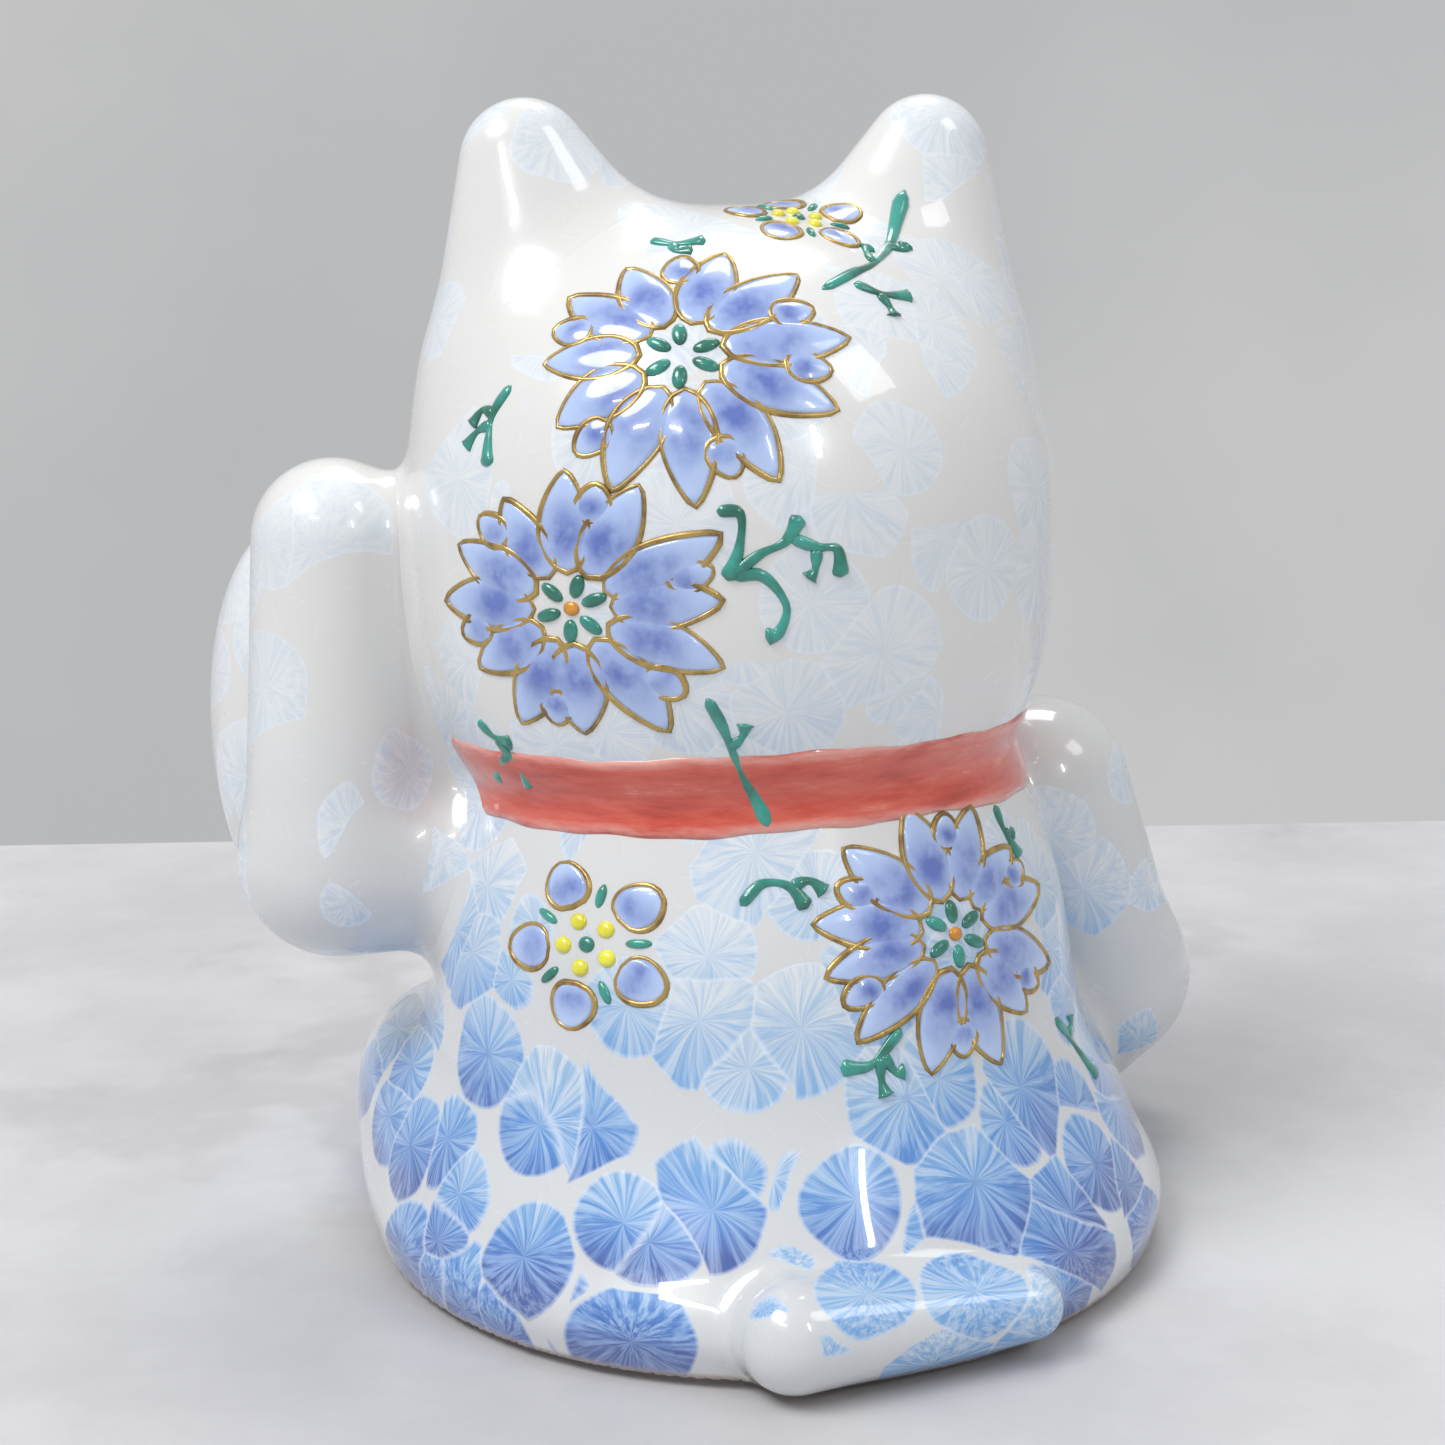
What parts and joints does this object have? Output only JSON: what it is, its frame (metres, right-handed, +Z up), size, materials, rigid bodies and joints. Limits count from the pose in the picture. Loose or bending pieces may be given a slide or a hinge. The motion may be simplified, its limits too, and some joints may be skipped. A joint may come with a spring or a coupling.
{
  "type": "ceramic cat figurine",
  "caption": "Seated porcelain cat figurine with one raised paw, crystalline white to cobalt blue glaze, painted flowers, red collar and bell.",
  "frame": {"origin": "on the surface the figurine stands on, under the middle of its bounding box", "axes": "+Z up, -Y the way the cat faces, +X the side of the raised arm (the cat's own left)"},
  "size_m": [0.1338, 0.1312, 0.1436],
  "materials": {
    "crystal_glaze": "gloss",
    "bisque": "matte",
    "red_enamel": "gloss",
    "gold_lustre": "gloss"
  },
  "bodies": {
    "root": {"body_shell": "crystal_glaze", "base_plate": "bisque", "head_shell": "crystal_glaze", "left_ear": "crystal_glaze", "right_ear": "crystal_glaze", "raised_arm": "crystal_glaze", "raised_paw": "crystal_glaze", "lowered_arm": "crystal_glaze", "lowered_paw": "crystal_glaze", "tail": "crystal_glaze", "left_foot": "crystal_glaze", "right_foot": "crystal_glaze", "collar": "red_enamel", "bell": "gold_lustre", "bell_loop": "gold_lustre", "coin": "gold_lustre"}
  },
  "joints": []
}
